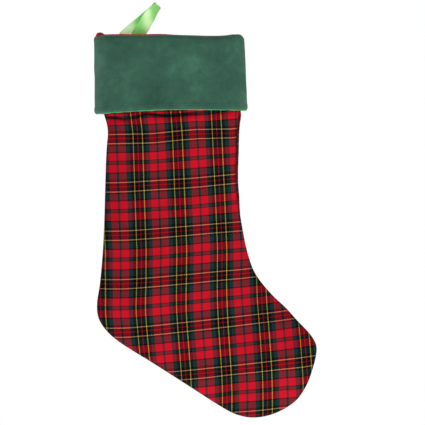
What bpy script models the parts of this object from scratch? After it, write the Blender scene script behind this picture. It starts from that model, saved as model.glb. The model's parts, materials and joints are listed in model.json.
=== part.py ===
"""Hanging stocking: tartan leg and foot, red lining, velour cuff with satin facing, ribbon loop.

Metres, +Z up. The front faces -Y and the toe points toward +X. The origin is where a hook
bears on the inside of the ribbon loop. The stocking swings on the line where the loop
leaves the mouth.

Fabric pieces are drawn in a pattern frame: u runs from the heel-side seam toward the
instep, v runs down from the rim of the mouth. Every layer is the same bag, grown or shrunk
by its depth in the stack.
"""

import math

import bmesh
import bpy
from mathutils import Vector

GAP = 0.0003  # clearance between neighbouring layers

# ribbon loop
RIBBON_WIDTH = 0.016
RIBBON_THICK = 0.0010
LOOP_RISE = 0.0375  # hinge line to the underside of the loop's top
LOOP_LEAN = 0.029  # how far the loop's top stands toward the instep from its foot
LOOP_SPLAY = 0.0072  # half the distance between the two ends along the mouth
LOOP_BULGE = 0.0080  # half the widest space between the two legs, times 0.77
LOOP_TWIST = math.radians(62)  # turn of the ribbon between its foot and its top
TAIL_LENGTH = 0.020
TAIL_SPAN = 0.031

# places, measured from the hook point
RIM_Z = -0.0399  # rim of the cuff
SEAM_U0_X = -0.0636  # heel-side seam of the leg
HINGE_Y = 0.0038
HINGE_Z = -0.0368

# stack of layers, outside to inside
VELOUR = 0.0020
FACING = 0.0009
TARTAN = 0.0012
LINING = 0.0010
SEAM_THREAD = 0.0009  # thickness of the joined seam between two panels
EDGE_SHRINK = 1.5  # a layer's outline moves this many times its depth in the stack

# half-depth, front to back, of the outer face of the tartan bag
DEPTH_RIM = 0.0095
DEPTH_LEG = 0.0140
DEPTH_FOOT = 0.0165
ROUNDNESS = 0.70  # 0.5 gives an ellipse, 1 a pointed lens

# cuff
CUFF_HEEL_U = -0.0150
CUFF_INSTEP_U = 0.1718
CUFF_FLARE = 0.0045  # the instep side leans outward by this much at the hem
CUFF_DEPTH_HEEL = 0.0970
CUFF_DEPTH_INSTEP = 0.0924
CUFF_HALF_RIM = 0.0136  # half-depth, front to back
CUFF_HALF_HEM = 0.0205
FACING_SHOWS = 0.0020  # facing below the velour hem
HEM_STITCHES = (0.0055, 0.0027)  # rows above the hem
MOUTH_STITCH = 0.0022  # row below the rim
THREAD = 0.0007
LINING_STANDS = 0.0018  # lining above the rim

COLUMNS = 10  # across a panel, closer together near its seams

# (heel side u, v), (instep side u, v): ribs across the bag from the mouth to the toe
RIBS = (
    ((-0.0060, 0.0000), (0.1625, 0.0000)),
    ((-0.0045, 0.0500), (0.1660, 0.0500)),
    ((-0.0010, 0.0970), (0.1684, 0.0960)),
    ((0.0012, 0.1150), (0.1656, 0.1150)),
    ((0.0005, 0.1500), (0.1642, 0.1480)),
    ((-0.0006, 0.1900), (0.1634, 0.1830)),
    ((-0.0022, 0.2300), (0.1668, 0.2140)),
    ((-0.0045, 0.2700), (0.1708, 0.2430)),
    ((-0.0078, 0.3120), (0.1770, 0.2720)),
    ((-0.0110, 0.3360), (0.1850, 0.2950)),
    ((-0.0090, 0.3530), (0.1950, 0.3100)),
    ((0.0010, 0.3690), (0.2030, 0.3195)),
    ((0.0160, 0.3822), (0.2100, 0.3270)),
    ((0.0600, 0.4100), (0.2250, 0.3410)),
    ((0.1050, 0.4387), (0.2400, 0.3577)),
    ((0.1400, 0.4612), (0.2520, 0.3700)),
    ((0.1620, 0.4732), (0.2590, 0.3790)),
    ((0.1820, 0.4776), (0.2634, 0.3885)),
    ((0.2050, 0.4742), (0.2620, 0.4010)),
    ((0.2250, 0.4645), (0.2575, 0.4160)),
    ((0.2380, 0.4540), (0.2512, 0.4330)),
)
TOE_TIP = (0.2450, 0.4440)
TOE_ROUNDS_FROM = 0.060  # half-length of a rib at which the toe starts to close
RIB_DEPTHS = ((0.0, DEPTH_RIM), (0.10, 0.0120), (0.22, DEPTH_LEG), (0.36, DEPTH_FOOT), (0.60, DEPTH_FOOT))

COLOURS = {
    "tartan": (0.28, 0.02, 0.03),
    "lining": (0.55, 0.01, 0.015),
    "velour": (0.045, 0.13, 0.085),
    "facing": (0.0, 0.34, 0.11),
    "ribbon": (0.28, 0.70, 0.18),
    "green_thread": (0.05, 0.16, 0.10),
    "dark_thread": (0.02, 0.04, 0.03),
    "red_thread": (0.45, 0.01, 0.015),
    "pale_thread": (0.45, 0.75, 0.35),
}
ROUGHNESS = {"facing": 0.35, "ribbon": 0.35}


def clear_scene():
    for obj in list(bpy.data.objects):
        bpy.data.objects.remove(obj, do_unlink=True)


def material(name):
    mat = bpy.data.materials.get(name) or bpy.data.materials.new(name)
    mat.use_nodes = True
    bsdf = mat.node_tree.nodes["Principled BSDF"]
    bsdf.inputs["Base Color"].default_value = (*COLOURS[name], 1.0)
    bsdf.inputs["Roughness"].default_value = ROUGHNESS.get(name, 0.9)
    bsdf.inputs["Metallic"].default_value = 0.0
    return mat


def add_object(name, verts, faces, mat, parent):
    mesh = bpy.data.meshes.new(name)
    mesh.from_pydata([tuple(v) for v in verts], [], faces)
    bm = bmesh.new()
    bm.from_mesh(mesh)
    bmesh.ops.recalc_face_normals(bm, faces=bm.faces)
    bm.to_mesh(mesh)
    bm.free()
    obj = bpy.data.objects.new(name, mesh)
    mesh.materials.append(material(mat))
    bpy.context.scene.collection.objects.link(obj)
    obj.parent = parent
    return obj


def add_empty(name, location, parent=None):
    empty = bpy.data.objects.new(name, None)
    empty.location = location
    empty.parent = parent
    bpy.context.scene.collection.objects.link(empty)
    return empty


def interpolate(table, x):
    """Value at x of a table of (x, value) pairs, eased between neighbours."""
    for (x0, a), (x1, b) in zip(table, table[1:]):
        if x <= x1:
            f = max(0.0, (x - x0) / (x1 - x0))
            return a + (b - a) * f * f * (3 - 2 * f)
    return table[-1][1]


def world(u, v, y):
    return Vector((SEAM_U0_X + u, y, RIM_Z - v))


def outline_normals(points):
    """Outward unit normals of an open outline that runs heel side, toe, instep side."""
    normals = []
    for i in range(len(points)):
        a = points[max(i - 1, 0)]
        b = points[min(i + 1, len(points) - 1)]
        along = (b - a).normalized()
        normals.append(Vector((-along.y, along.x)))
    return normals


def bag_ribs(inset):
    """Ribs of one layer: (heel-side end, instep-side end, half-depth) from mouth to tip."""
    heel = [Vector(a) for a, _ in RIBS]
    instep = [Vector(b) for _, b in RIBS]
    outline = heel + [Vector(TOE_TIP)] + instep[::-1]
    normals = outline_normals(outline)
    moved = [p - n * inset * EDGE_SHRINK for p, n in zip(outline, normals)]
    count = len(RIBS)
    tip = moved[count]
    ribs = []
    for i in range(count):
        a, b = moved[i], moved[2 * count - i]
        length = (instep[i] - heel[i]).length / 2
        depth = interpolate(RIB_DEPTHS, (heel[i].y + instep[i].y) / 2)
        if i > count / 2:
            depth *= min(1.0, length / TOE_ROUNDS_FROM) ** 0.6
        ribs.append((a, b, depth - inset))
    return ribs, tip


def column_stations():
    return [-math.cos(math.pi * j / COLUMNS) for j in range(COLUMNS + 1)]


def bulge(t):
    return max(0.0, 1 - t * t) ** ROUNDNESS


def bag_surface(inset, side, lift):
    """Grid of points over one face of the bag, one row for each rib, and the tip."""
    ribs, tip = bag_ribs(inset)
    edge = SEAM_THREAD / 2 + GAP
    rows = []
    for i, (a, b, depth) in enumerate(ribs):
        row = []
        for t in column_stations():
            p = a.lerp(b, (1 + t) / 2)
            v = p.y + (lift if i == 0 else 0.0)
            row.append(world(p.x, v, side * (edge + depth * bulge(t))))
        rows.append(row)
    return rows, world(tip.x, tip.y, side * edge)


def shell(outer, inner, outer_tip=None, inner_tip=None):
    """Closed solid between two grids, which share their layout; a tip closes the far end."""
    verts, faces = [], []
    width = len(outer[0])
    for grid in (outer, inner):
        for row in grid:
            verts.extend(row)
    rows = len(outer)
    half = rows * width

    def at(layer, i, j):
        return layer * half + i * width + j

    for layer in (0, 1):
        for i in range(rows - 1):
            for j in range(width - 1):
                a, b = at(layer, i, j), at(layer, i, j + 1)
                c, d = at(layer, i + 1, j + 1), at(layer, i + 1, j)
                faces += [(a, b, c), (a, c, d)]  # one diagonal in every layer, so they nest
    for i in range(rows - 1):
        for j in (0, width - 1):
            faces.append((at(0, i, j), at(0, i + 1, j), at(1, i + 1, j), at(1, i, j)))
    for j in range(width - 1):
        faces.append((at(0, 0, j), at(0, 0, j + 1), at(1, 0, j + 1), at(1, 0, j)))
    last = rows - 1
    if outer_tip is None:
        for j in range(width - 1):
            faces.append((at(0, last, j), at(0, last, j + 1), at(1, last, j + 1), at(1, last, j)))
        return verts, faces
    tips = [len(verts), len(verts) + 1]
    verts.extend((outer_tip, inner_tip))
    for layer in (0, 1):
        for j in range(width - 1):
            faces.append((at(layer, last, j), at(layer, last, j + 1), tips[layer]))
    for j in (0, width - 1):
        faces.append((at(0, last, j), tips[0], tips[1], at(1, last, j)))
    return verts, faces


def add_bag_panel(name, side, depth, thick, lift, mat, parent):
    outer, outer_tip = bag_surface(depth, side, lift)
    inner, inner_tip = bag_surface(depth + thick, side, lift)
    add_object(name, *shell(outer, inner, outer_tip, inner_tip), mat, parent)


def swept_bar(path, width_dirs, width, thick_dirs, thick):
    """Closed bar of rectangular section along a path, with its own directions at each point."""
    verts, faces = [], []
    for p, w, n in zip(path, width_dirs, thick_dirs):
        for sw, sn in ((-1, -1), (1, -1), (1, 1), (-1, 1)):
            verts.append(p + w * (sw * width / 2) + n * (sn * thick / 2))
    for i in range(len(path) - 1):
        a, b = 4 * i, 4 * i + 4
        for k in range(4):
            m = (k + 1) % 4
            faces.append((a + k, a + m, b + m, b + k))
    faces.append((3, 2, 1, 0))
    end = 4 * (len(path) - 1)
    faces.append((end, end + 1, end + 2, end + 3))
    return verts, faces


def add_bag_seam(name, depth, thick, lift, mat, parent):
    """The joined seam of a bag: a strip between its panels, down one side, round the toe and up."""
    ribs, tip = bag_ribs(depth)
    ribs_in, tip_in = bag_ribs(depth + thick)
    loop = [a for a, _, _ in ribs] + [tip] + [b for _, b, _ in ribs[::-1]]
    loop_in = [a for a, _, _ in ribs_in] + [tip_in] + [b for _, b, _ in ribs_in[::-1]]
    ends = (0, len(loop) - 1)
    path, width_dirs, widths = [], [], []
    for i, (p, q) in enumerate(zip(loop, loop_in)):
        v_lift = lift if i in ends else 0.0
        outer = world(p.x, p.y + v_lift, 0.0)
        inner = world(q.x, q.y + v_lift, 0.0)
        path.append((outer + inner) / 2)
        width_dirs.append((outer - inner).normalized())
        widths.append((outer - inner).length)
    verts, faces = [], []
    for p, w, width in zip(path, width_dirs, widths):
        for sw, sy in ((-1, -1), (1, -1), (1, 1), (-1, 1)):
            verts.append(p + w * (sw * width / 2) + Vector((0, sy * SEAM_THREAD / 2, 0)))
    for i in range(len(path) - 1):
        a, b = 4 * i, 4 * i + 4
        for k in range(4):
            m = (k + 1) % 4
            faces.append((a + k, a + m, b + m, b + k))
    end = 4 * (len(path) - 1)
    faces += [(3, 2, 1, 0), (end, end + 1, end + 2, end + 3)]
    add_object(name, verts, faces, mat, parent)


def cuff_edges(v, depth):
    """Heel-side and instep-side u of a cuff layer, and its half-depth, at v below the rim."""
    f = v / CUFF_DEPTH_INSTEP
    corner = 0.0030 * max(0.0, 1 - v / 0.006) ** 2
    heel = CUFF_HEEL_U + corner + depth * EDGE_SHRINK
    instep = CUFF_INSTEP_U + CUFF_FLARE * f - corner - depth * EDGE_SHRINK
    half = CUFF_HALF_RIM + (CUFF_HALF_HEM - CUFF_HALF_RIM) * min(1.0, f) ** 0.7
    return heel, instep, half - depth


def hem_depth(t):
    """The hem hangs lower on the heel side and levels out across the front."""
    drop = max(0.0, (0.05 - t) / 1.05) ** 1.3
    return CUFF_DEPTH_INSTEP + (CUFF_DEPTH_HEEL - CUFF_DEPTH_INSTEP) * drop


def cuff_point(t, v, depth, side):
    heel, instep, half = cuff_edges(v, depth)
    u = heel + (instep - heel) * (1 + t) / 2
    return world(u, v, side * (SEAM_THREAD / 2 + GAP + half * bulge(t)))


def cuff_rows(top, below_hem):
    """Distances below the rim of a cuff layer's rows, as functions of t."""
    plain = [top, 0.0022, 0.0060, 0.0250, 0.0480, 0.0700]
    rows = [lambda t, v=v: v for v in plain]
    rows += [lambda t, r=r: hem_depth(t) - r for r in (*HEM_STITCHES, 0.0)]
    if below_hem:
        rows.append(lambda t: hem_depth(t) + below_hem)
    return rows


def add_cuff_panel(name, side, depth, thick, top, below_hem, mat, parent):
    grids = []
    for d in (depth, depth + thick):
        grids.append([[cuff_point(t, v(t), d, side) for t in column_stations()]
                      for v in cuff_rows(top, below_hem)])
    add_object(name, *shell(*grids), mat, parent)


def add_cuff_thread(name, side, depth_of, mat, parent):
    """A row of stitching as one bead lying just off the face of the velour."""
    off = -(GAP + THREAD / 2)
    stations = column_stations()[1:-1]
    path = [cuff_point(t, depth_of(t), off, side) for t in stations]
    count = len(path)
    add_object(name, *swept_bar(path, [Vector((0, 0, 1))] * count, THREAD,
                                [Vector((0, 1, 0))] * count, THREAD), mat, parent)


def add_cuff_seam(name, end, mat, parent):
    """Side seam of the cuff, between the velour of the front and of the back."""
    verts, faces = [], []
    rows = [v(end) for v in cuff_rows(0.0, 0.0)]
    half = SEAM_THREAD / 2
    for v in rows:
        for depth, y in ((0.0, -half), (0.0, half), (VELOUR, half), (VELOUR, -half)):
            p = cuff_point(end, v, depth, 1)
            verts.append(Vector((p.x, y, p.z)))
    for i in range(len(rows) - 1):
        a, b = 4 * i, 4 * i + 4
        for k in range(4):
            m = (k + 1) % 4
            faces.append((a + k, a + m, b + m, b + k))
    end_at = 4 * (len(rows) - 1)
    faces += [(3, 2, 1, 0), (end_at, end_at + 1, end_at + 2, end_at + 3)]
    add_object(name, verts, faces, mat, parent)


def loop_station(a):
    """Centre of the ribbon at a, from 0 (foot of the front leg) over the top to 1 (back leg)."""
    start = 0.42  # where the two legs are a ribbon apart, so that they don't touch
    angle = start + (2 * math.pi - 2 * start) * a
    rise = LOOP_RISE + RIBBON_THICK / 2
    low = (1 - math.cos(start)) / 2
    h = ((1 - math.cos(angle)) / 2 - low) / (1 - low)  # 0 at the foot, 1 at the top
    apart = -LOOP_BULGE * math.sin(angle) * abs(math.sin(angle / 2)) ** 1.2
    apart += -0.0001 * (1 if a < 0.5 else -1)
    twist = LOOP_TWIST * h ** 1.5
    front = 1 if a < 0.5 else -1
    x = -LOOP_LEAN * (1 - h) ** 0.92 + front * LOOP_SPLAY * (1 - h) ** 1.4
    centre = Vector((x - apart * math.sin(twist), apart * math.cos(twist), HINGE_Z + h * rise))
    return centre + Vector((0, HINGE_Y * (1 - h), GAP)), h, twist


def add_hanger_loop(name, mat, parent):
    count = 29
    path, hs, twists = [], [], []
    for i in range(count):
        p, h, twist = loop_station(i / (count - 1))
        path.append(p)
        hs.append(h)
        twists.append(twist)
    verts, faces = [], []
    for i, p in enumerate(path):
        along = (path[min(i + 1, count - 1)] - path[max(i - 1, 0)]).normalized()
        across = Vector((math.cos(twists[i]), math.sin(twists[i]), 0.0))
        across = (across - along * across.dot(along)).normalized()
        normal = along.cross(across).normalized()
        half = across * (RIBBON_WIDTH / 2)
        if i in (0, count - 1):  # the feet are level with the hinge line
            half = Vector((RIBBON_WIDTH / 2 / abs(across.x), 0, 0))
            normal = Vector((0, 1 if normal.y > 0 else -1, 0))
        thick = normal * (RIBBON_THICK / 2)
        verts += [p - half - thick, p + half - thick, p + half + thick, p - half + thick]
    for i in range(count - 1):
        a, b = 4 * i, 4 * i + 4
        for k in range(4):
            m = (k + 1) % 4
            faces.append((a + k, a + m, b + m, b + k))
    end = 4 * (count - 1)
    faces += [(3, 2, 1, 0), (end, end + 1, end + 2, end + 3)]
    return add_object(name, verts, faces, mat, parent)


def box_verts(lo, hi):
    verts = [Vector((x, y, z)) for x in (lo[0], hi[0]) for y in (lo[1], hi[1]) for z in (lo[2], hi[2])]
    faces = [(0, 1, 3, 2), (4, 6, 7, 5), (0, 4, 5, 1), (2, 3, 7, 6), (0, 2, 6, 4), (1, 5, 7, 3)]
    return verts, faces


def add_hanger_tails(parent):
    """The ribbon's two ends, flat inside the back of the mouth, and the stitching across them."""
    middle = -LOOP_LEAN
    top = HINGE_Z - 0.0016
    lo = (middle - TAIL_SPAN / 2, HINGE_Y - 0.0009, top - TAIL_LENGTH)
    hi = (middle + TAIL_SPAN / 2, HINGE_Y + 0.0003, top)
    add_object("hanger_tails", *box_verts(lo, hi), "ribbon", parent)
    near = HINGE_Y - 0.0009 - GAP
    lo = (middle - 0.012, near - THREAD, top - 0.0095)
    hi = (middle + 0.012, near, top - 0.0080)
    add_object("hanger_bartack", *box_verts(lo, hi), "pale_thread", parent)


def add_corner_roll(parent):
    """Roll of lining that stands up at the heel-side corner of the mouth, as a small arch."""
    middle, reach, rise, tube = -0.0724, 0.0034, 0.0032, 0.0022
    base = RIM_Z + GAP
    verts, faces = [], []
    steps, sides = 10, 6
    for i in range(steps + 1):
        a = math.pi * i / steps
        c = Vector((middle - reach * math.cos(a), 0.0, base + rise * math.sin(a)))
        out = Vector((-math.cos(a), 0.0, math.sin(a)))
        for k in range(sides):
            b = 2 * math.pi * k / sides
            p = c + out * (tube / 2 * math.cos(b)) + Vector((0, tube / 2 * math.sin(b), 0))
            verts.append(p)
    for i in range(steps):
        for k in range(sides):
            m = (k + 1) % sides
            faces.append((i * sides + k, i * sides + m, (i + 1) * sides + m, (i + 1) * sides + k))
    faces += [tuple(range(sides)), tuple(range(steps * sides, (steps + 1) * sides))]
    add_object("lining_corner_roll", verts, faces, "lining", parent)


def main():
    clear_scene()
    hinge = (0.0, HINGE_Y, HINGE_Z)
    root = add_empty("hook_point", (0, 0, 0))
    pivot = add_empty("swing_axis", hinge, root)
    stocking = add_empty("stocking", -Vector(hinge), pivot)

    add_hanger_loop("hanger_loop", "ribbon", root)
    add_hanger_tails(stocking)

    lining_depth = TARTAN + GAP
    facing_depth = VELOUR + GAP
    for side, word in ((-1, "front"), (1, "back")):
        add_bag_panel("body_" + word, side, 0.0, TARTAN, 0.0006, "tartan", stocking)
        add_bag_panel("lining_" + word, side, lining_depth, LINING, -LINING_STANDS, "lining", stocking)
        add_cuff_panel("cuff_" + word, side, 0.0, VELOUR, 0.0, 0.0, "velour", stocking)
        add_cuff_panel("cuff_facing_" + word, side, facing_depth, FACING, 0.0006, FACING_SHOWS,
                       "facing", stocking)
        upper, lower = HEM_STITCHES
        add_cuff_thread("hem_stitch_upper_" + word, side, lambda t: hem_depth(t) - upper,
                        "green_thread", stocking)
        add_cuff_thread("hem_stitch_lower_" + word, side, lambda t: hem_depth(t) - lower,
                        "green_thread", stocking)
        add_cuff_thread("mouth_stitch_" + word, side, lambda t: MOUTH_STITCH, "dark_thread", stocking)
    add_bag_seam("body_seam", 0.0, TARTAN, 0.0006, "dark_thread", stocking)
    add_bag_seam("lining_seam", lining_depth, LINING, -LINING_STANDS, "red_thread", stocking)
    add_cuff_seam("cuff_seam_heel", -1, "green_thread", stocking)
    add_cuff_seam("cuff_seam_instep", 1, "green_thread", stocking)
    add_corner_roll(stocking)


main()
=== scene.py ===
"""The look of the hanging stocking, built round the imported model.

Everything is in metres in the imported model's frame. Cloth is laid out in a pattern frame:
u runs from the heel-side seam of the leg toward the instep, v runs down from the rim.
A side is -1 for the front and 1 for the back.
"""

import json
import math

import bmesh
import bpy
import numpy as np
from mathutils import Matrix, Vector, geometry, noise


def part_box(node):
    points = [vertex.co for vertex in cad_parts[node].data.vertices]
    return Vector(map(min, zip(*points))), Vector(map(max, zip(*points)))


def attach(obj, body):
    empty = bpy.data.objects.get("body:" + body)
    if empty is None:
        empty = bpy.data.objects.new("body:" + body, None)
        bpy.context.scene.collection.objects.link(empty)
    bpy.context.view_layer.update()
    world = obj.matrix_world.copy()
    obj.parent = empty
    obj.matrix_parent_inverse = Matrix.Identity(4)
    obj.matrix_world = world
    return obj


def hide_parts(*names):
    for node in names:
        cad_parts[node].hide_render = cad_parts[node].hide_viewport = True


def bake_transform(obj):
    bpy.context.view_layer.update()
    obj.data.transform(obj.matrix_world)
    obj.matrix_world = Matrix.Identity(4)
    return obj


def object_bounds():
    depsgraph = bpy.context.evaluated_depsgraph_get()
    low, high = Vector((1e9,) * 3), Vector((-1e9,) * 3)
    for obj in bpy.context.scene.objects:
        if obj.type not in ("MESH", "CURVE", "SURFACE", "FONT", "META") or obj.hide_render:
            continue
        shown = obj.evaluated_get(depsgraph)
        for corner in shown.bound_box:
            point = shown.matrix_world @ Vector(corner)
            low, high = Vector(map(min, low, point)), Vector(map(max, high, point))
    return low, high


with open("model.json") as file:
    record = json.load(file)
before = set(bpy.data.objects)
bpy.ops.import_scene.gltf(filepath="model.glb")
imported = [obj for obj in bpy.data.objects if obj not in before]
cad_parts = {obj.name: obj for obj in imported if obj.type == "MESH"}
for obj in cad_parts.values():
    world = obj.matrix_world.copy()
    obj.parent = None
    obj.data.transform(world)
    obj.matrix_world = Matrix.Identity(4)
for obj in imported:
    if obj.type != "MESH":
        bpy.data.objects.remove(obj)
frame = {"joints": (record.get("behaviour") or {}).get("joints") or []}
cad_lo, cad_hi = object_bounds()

MM = 0.001
BODY = "stocking"
SIDES = ((-1, "front"), (1, "back"))

# ------------------------------------------------------------------ places, from the frame

HEEL_REACH = 11.0 * MM  # the heel stands this far behind the leg's seam
U0_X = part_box("body_front")[0].x + HEEL_REACH
RIM_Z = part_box("cuff_front")[1].z
HINGE = Vector(frame["joints"][0]["pos_m"])

# ------------------------------------------------------------------ camera and stage

FIELD = 0.5327  # width and height of what the camera frames, at the stocking
CAMERA_AWAY = 2.5
SENSOR = 36.0
VIEW_CENTRE = Vector(((cad_lo.x + cad_hi.x) / 2 + 9.3 * MM, 0, (cad_lo.z + cad_hi.z) / 2 - 4.1 * MM))
# each light's place from the view's centre, its size and its watts
LIGHTS = {"key": ((-0.25, -1.9, 0.65), 0.8, 16.0), "fill": ((0.7, -1.1, -0.75), 0.8, 8.3),
          "back": ((0.8, 1.8, 0.9), 1.2, 20.0)}
AMBIENT = 0.22  # the white surroundings, as a light
FLOOR_RADIUS = 12.0
FLOOR_BELOW = 1.6  # the floor lies this far below the view's centre
FLOOR_COLOUR = (0.93, 0.92, 0.905, 1)


def add_object(name, data):
    obj = bpy.data.objects.new(name, data)
    bpy.context.scene.collection.objects.link(obj)
    return obj


def make_camera():
    data = bpy.data.cameras.new("camera")
    data.sensor_width = SENSOR
    data.lens = SENSOR * CAMERA_AWAY / FIELD
    data.clip_end = 20
    camera = add_object("camera", data)
    camera.location = VIEW_CENTRE + Vector((0, -CAMERA_AWAY, 0))
    camera.rotation_euler = (math.radians(90), 0, 0)
    bpy.context.scene.camera = camera


def make_light(name, offset, size, watts):
    data = bpy.data.lights.new(name, "AREA")
    data.shape = "DISK"
    data.size = size
    data.energy = watts
    light = add_object(name, data)
    light.location = VIEW_CENTRE + Vector(offset)
    light.rotation_euler = (-Vector(offset)).to_track_quat("-Z", "Y").to_euler()


def make_surroundings():
    """White all round, which lights the object less strongly than it shows."""
    world = bpy.data.worlds.new("studio")
    world.use_nodes = True
    nodes, links = world.node_tree.nodes, world.node_tree.links
    background = nodes["Background"]
    background.inputs["Color"].default_value = (1, 1, 1, 1)
    seen = nodes.new("ShaderNodeLightPath").outputs["Is Camera Ray"]
    strength = nodes.new("ShaderNodeMapRange")
    links.new(seen, strength.inputs["Value"])
    strength.inputs["To Min"].default_value = AMBIENT
    strength.inputs["To Max"].default_value = 1.0
    links.new(strength.outputs[0], background.inputs["Strength"])
    bpy.context.scene.world = world
    bpy.context.scene.view_settings.view_transform = "Standard"


def make_stage():
    make_surroundings()
    for name, (offset, size, watts) in LIGHTS.items():
        make_light(name, offset, size, watts)
    bm = bmesh.new()
    bmesh.ops.create_circle(bm, cap_ends=True, segments=128, radius=FLOOR_RADIUS)
    mesh = bpy.data.meshes.new("floor")
    bm.to_mesh(mesh)
    bm.free()
    floor = add_object("floor", mesh)
    floor.location = (VIEW_CENTRE.x, 0, VIEW_CENTRE.z - FLOOR_BELOW)
    s = Shader("floor")
    s.set("Base Color", FLOOR_COLOUR).set("Roughness", 0.9)
    s.set("Emission Color", FLOOR_COLOUR).set("Emission Strength", 0.55)
    mesh.materials.append(s.material)


# ------------------------------------------------------------------ shader building


class Shader:
    """A material with a Principled BSDF, and short calls to add nodes to it."""

    def __init__(self, name):
        self.material = bpy.data.materials.new(name)
        self.material.use_nodes = True
        self.tree = self.material.node_tree
        self.bsdf = self.tree.nodes["Principled BSDF"]
        self.bsdf.inputs["Specular IOR Level"].default_value = 0.3

    def connect(self, socket, value):
        """Links a node's output to a socket, or sets the socket's own number or colour."""
        if isinstance(value, bpy.types.NodeSocket):
            self.tree.links.new(value, socket)
        else:
            socket.default_value = value

    def set(self, socket, value):
        self.connect(self.bsdf.inputs[socket], value)
        return self

    def node(self, kind, inputs, **settings):
        made = self.tree.nodes.new(kind)
        for key, value in settings.items():
            setattr(made, key, value)
        for key, value in inputs.items():
            self.connect(made.inputs[key], value)
        return made

    def maths(self, operation, a, b=0.0, c=0.0):
        return self.node("ShaderNodeMath", {0: a, 1: b, 2: c}, operation=operation).outputs[0]

    def wave(self, value, pitch):
        """A sine that repeats every pitch."""
        return self.maths("SINE", self.maths("MULTIPLY", value, 2 * math.pi / pitch))

    def mix(self, fraction, a, b):
        a, b = (c if isinstance(c, bpy.types.NodeSocket) else (*c, 1.0) for c in (a, b))
        return self.node("ShaderNodeMix", {0: fraction, 6: a, 7: b}, data_type="RGBA").outputs[2]

    def noise(self, vector, scale, detail=3.0, rough=0.5):
        return self.node("ShaderNodeTexNoise", {"Vector": vector, "Scale": scale, "Detail": detail,
                                                "Roughness": rough}).outputs["Fac"]

    def stretch(self, value, low, high, to_low=0.0, to_high=1.0):
        return self.node("ShaderNodeMapRange", {"Value": value, "From Min": low, "From Max": high,
                                                "To Min": to_low, "To Max": to_high}).outputs[0]

    def ramp(self, value, stops, interpolation="LINEAR"):
        made = self.node("ShaderNodeValToRGB", {"Fac": value})
        made.color_ramp.interpolation = interpolation
        elements = made.color_ramp.elements
        for i, (position, colour) in enumerate(stops):
            element = elements[i] if i < 2 else elements.new(position)
            element.position = position
            element.color = (*colour, 1.0)
        return made.outputs["Color"]

    def bump(self, height, strength, distance, normal=None):
        inputs = {"Height": height, "Strength": strength, "Distance": distance}
        if normal is not None:
            inputs["Normal"] = normal
        return self.node("ShaderNodeBump", inputs).outputs["Normal"]

    def place(self):
        return self.node("ShaderNodeTexCoord", {}).outputs["Object"]

    def point_value(self, name):
        """The number that set_value stored at each point of the mesh."""
        return self.node("ShaderNodeAttribute", {}, attribute_name=name).outputs["Fac"]

    def cloth(self):
        """Position on the cut cloth, in metres across and along its grain."""
        return self.node("ShaderNodeUVMap", {}, uv_map="grain").outputs["UV"]

    def cloth_axes(self):
        return self.node("ShaderNodeSeparateXYZ", {0: self.cloth()}).outputs[:2]


def srgb(r, g, b):
    """Linear colour of a display colour given in 0 to 255."""
    parts = [c / 255 for c in (r, g, b)]
    return tuple(c / 12.92 if c <= 0.04045 else ((c + 0.055) / 1.055) ** 2.4 for c in parts)


# ------------------------------------------------------------------ tartan

SETT_ACROSS = 50.3 * MM  # repeat of the warp stripes
SETT_DOWN = 60.5 * MM  # repeat of the weft stripes
THREAD_PITCH = 0.52 * MM
DISPLAY_GAMMA = 2.2
GREEN = srgb(19, 50, 48)
RED = srgb(203, 15, 37)
BLACK = srgb(5, 4, 6)
DARK_RED = srgb(160, 10, 28)  # the narrow red between the double gold lines
DEEP_RED = srgb(128, 8, 21)  # the same between the cream lines
GOLD = srgb(212, 196, 70)
CREAM = srgb(214, 180, 119)
# widths in millimetres across the cloth, from one gold or cream line to the next repeat
WARP = ((0.75, GOLD), (4.4, BLACK), (1.4, DARK_RED), (4.7, BLACK), (1.15, GOLD), (3.55, BLACK), (5.0, GREEN),
        (8.6, RED), (2.9, GREEN), (8.8, RED), (5.0, GREEN), (3.7, BLACK), (0.35, GOLD))
WEFT = ((0.7, CREAM), (3.85, BLACK), (1.7, DEEP_RED), (4.55, BLACK), (1.2, CREAM), (2.3, BLACK),
        (7.4, GREEN),
        (1.6, BLACK), (9.2, RED), (1.1, BLACK), (3.1, GREEN), (1.1, BLACK), (9.2, RED), (1.6, BLACK),
        (7.4, GREEN), (3.2, BLACK), (0.6, CREAM))
WARP_UNDER, WARP_OVER = 0.31, 0.71  # how much of the warp's colour shows where it lies under or over
FOLD_SHADE_PAINTED = 0.9  # how far the painted shade darkens the cloth at the bottom of a deep fold and in the turned seam


def stripe_stops(stripes):
    """Colour ramp stops of the stripes, in display values, in which neighbouring threads mix to the eye."""
    total = sum(width for width, _ in stripes)
    at, stops = 0.0, []
    for width, colour in stripes:
        stops.append((at / total, tuple(c ** (1 / DISPLAY_GAMMA) for c in colour)))
        at += width
    return stops


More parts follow.
